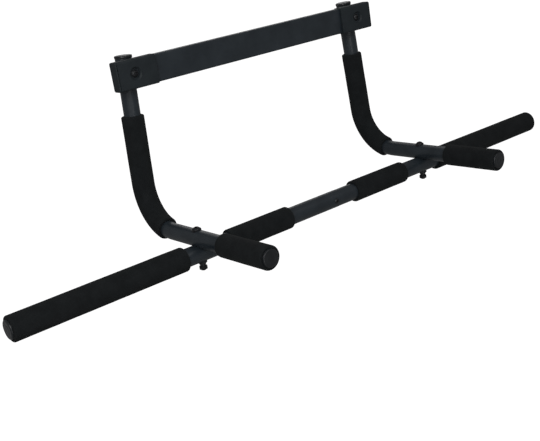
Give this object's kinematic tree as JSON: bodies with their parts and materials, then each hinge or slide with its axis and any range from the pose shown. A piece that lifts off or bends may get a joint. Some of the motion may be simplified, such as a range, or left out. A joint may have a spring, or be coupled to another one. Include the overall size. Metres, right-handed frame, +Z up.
{
  "type": "doorway pull-up bar",
  "caption": "Over-the-door pull-up bar: long foam-gripped bar, bent arms with forward handles, and a header beam that hooks over the door trim.",
  "frame": {"origin": "midway between the two shoes' undersides, where the bar hangs on the door trim", "axes": "+X along the long bar, to the user's right; +Y away from the user, from the long bar to the uprights; +Z up"},
  "size_m": [1, 0.2982, 0.2878],
  "materials": {
    "powder_coat": "satin black powder coat on steel tube",
    "foam": "matte black closed-cell foam",
    "shoe_plastic": "fine-grained black moulding",
    "cap_plastic": "black moulded plug",
    "black_bolt": "black oxide steel"
  },
  "bodies": {
    "frame": {"arm_left": "powder_coat", "arm_right": "powder_coat", "arm_grip_left": "foam", "arm_grip_right": "foam", "handle_grip_left": "foam", "handle_grip_right": "foam", "handle_cap_left": "cap_plastic", "handle_cap_right": "cap_plastic", "upright_cap_left": "cap_plastic", "upright_cap_right": "cap_plastic", "beam_shoe_left": "shoe_plastic", "beam_shoe_right": "shoe_plastic", "beam_bolt_left": "black_bolt", "beam_bolt_right": "black_bolt", "beam_washer_left": "black_bolt", "beam_washer_right": "black_bolt", "beam_nut_left": "black_bolt", "beam_nut_right": "black_bolt", "crossing_bolt_left": "black_bolt", "crossing_bolt_right": "black_bolt", "crossing_washer_left": "black_bolt", "crossing_washer_right": "black_bolt", "bar_tube_left": "powder_coat", "bar_tube_right": "powder_coat", "bar_end_cap_left": "cap_plastic", "bar_end_cap_right": "cap_plastic", "outer_grip_left": "foam", "outer_grip_right": "foam", "inner_grip_left": "foam", "inner_grip_right": "foam", "bar_washer_left": "black_bolt", "bar_washer_right": "black_bolt", "header_beam": "powder_coat", "bar_joint_screw": "black_bolt"},
    "hand_nut_left": {"hand_nut_left": "black_bolt"},
    "hand_nut_right": {"hand_nut_right": "black_bolt"}
  },
  "joints": [
    {"name": "hand_nut_left_turn", "type": "hinge", "parent": "frame", "child": "hand_nut_left", "pos_m": [-0.2195, -0.10355, -0.2362], "axis": [0, 0, 1], "continuous": true},
    {"name": "hand_nut_right_turn", "type": "hinge", "parent": "frame", "child": "hand_nut_right", "pos_m": [0.2195, -0.10355, -0.2362], "axis": [0, 0, 1], "continuous": true}
  ]
}
